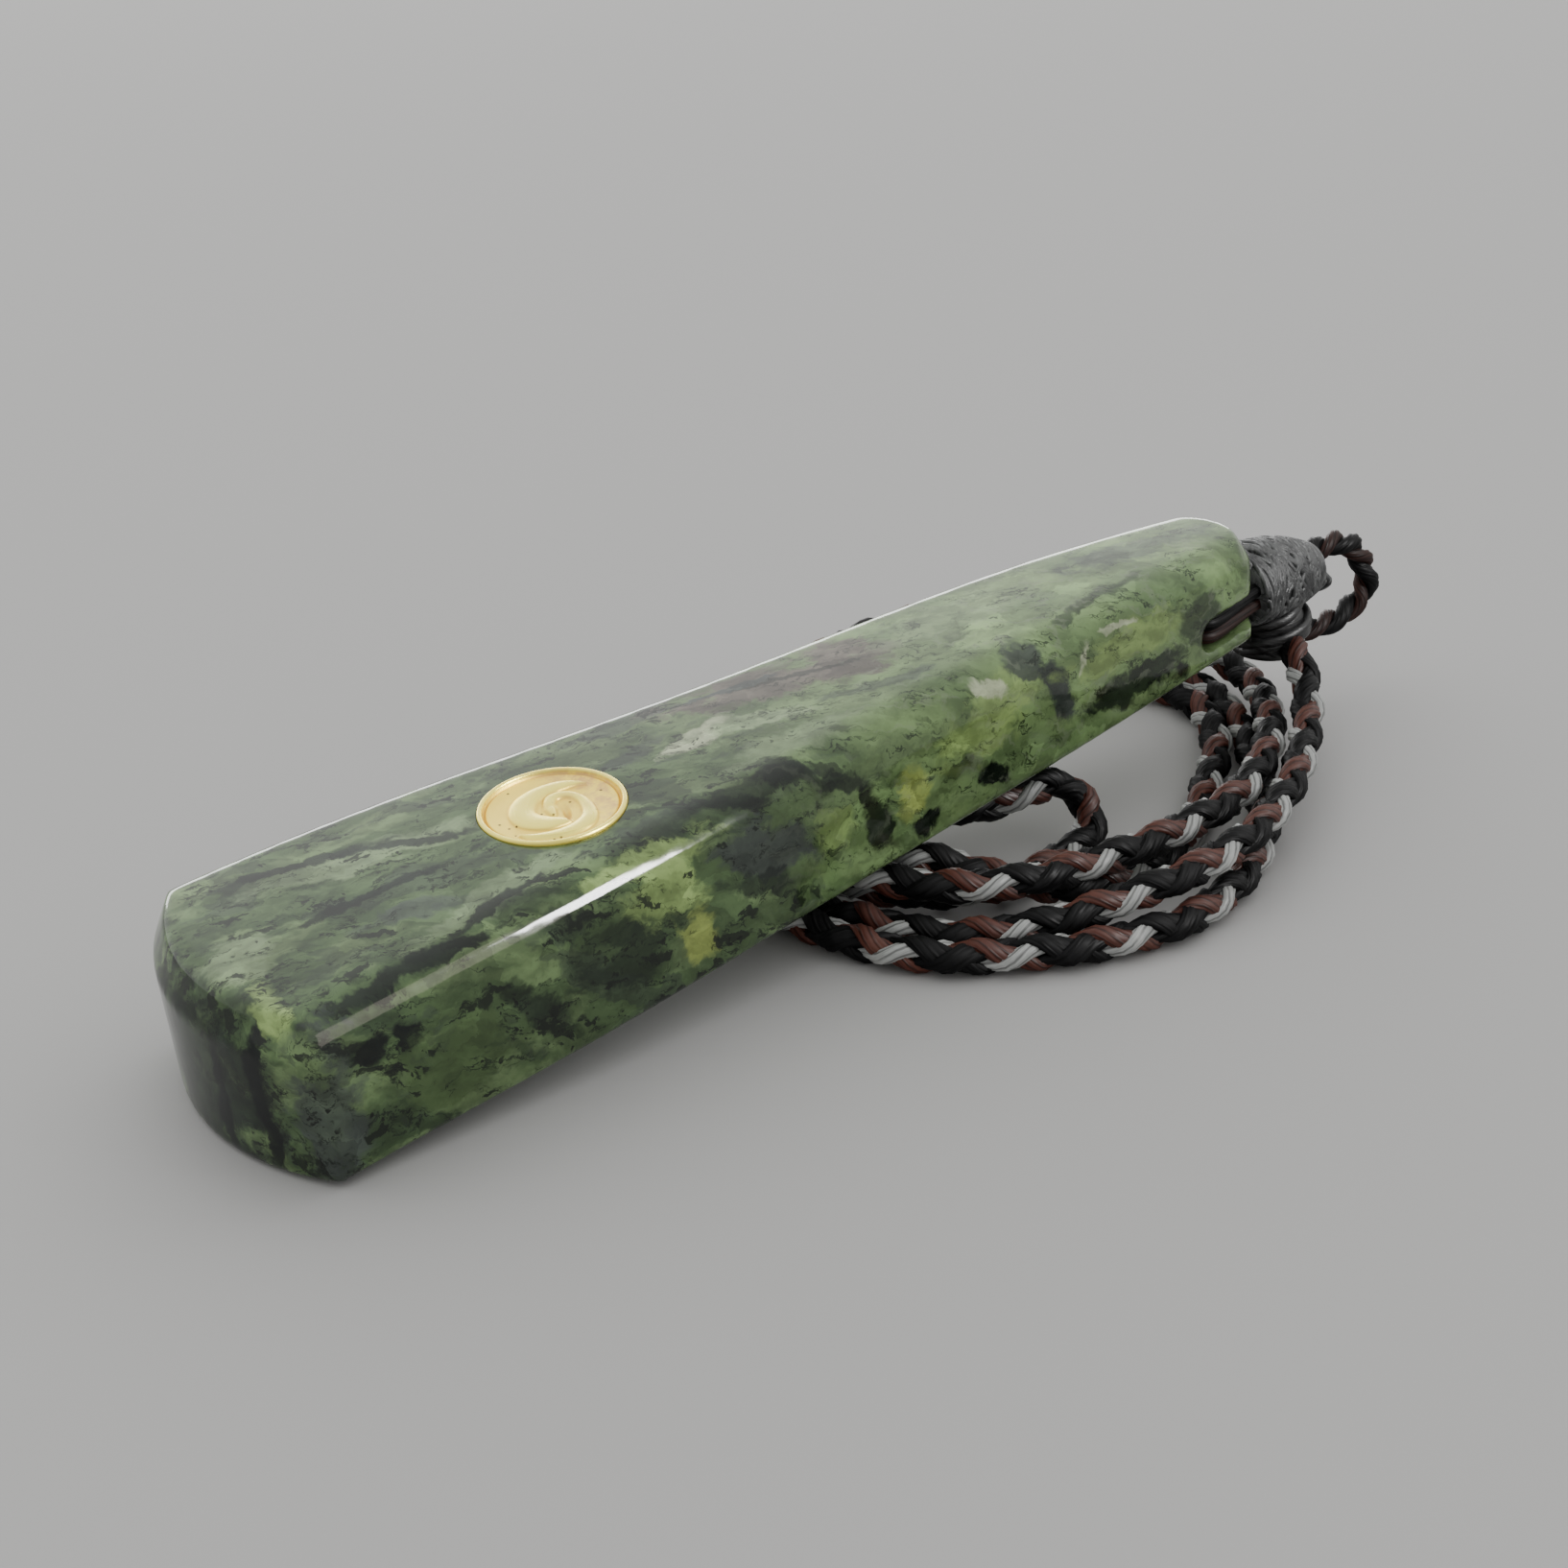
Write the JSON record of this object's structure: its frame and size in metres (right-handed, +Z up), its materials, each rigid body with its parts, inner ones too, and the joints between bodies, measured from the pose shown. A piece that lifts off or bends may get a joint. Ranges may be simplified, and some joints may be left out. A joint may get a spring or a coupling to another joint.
{
  "type": "jade drop pendant",
  "caption": "Long tapered polished jade drop with an inlaid gold disc, whipped to a loop and knot of waxed cord, its braided neck cord coiled under the narrow end.",
  "frame": {"origin": "on the surface the pendant lies on, under the middle of the jewel measured without its neck cord", "axes": "+X along the drop towards its narrow end and the loop, +Y across it, +Z up out of the surface, with the gold disc on the upper side"},
  "size_m": [0.0998, 0.0472, 0.0169],
  "materials": {
    "jade": "polished",
    "gold": "satin",
    "dark_cord": "waxed",
    "grey_thread": "waxed",
    "braided_cord": "waxed"
  },
  "bodies": {
    "root": {"jade_drop": "jade", "gold_disc": "gold", "hole_lashing": "dark_cord", "thread_whipping": "grey_thread", "tip_loop": "dark_cord", "cord_knot": "dark_cord", "neck_cord_near": "braided_cord", "neck_cord_far": "braided_cord", "neck_cord_coil": "braided_cord"}
  },
  "joints": []
}
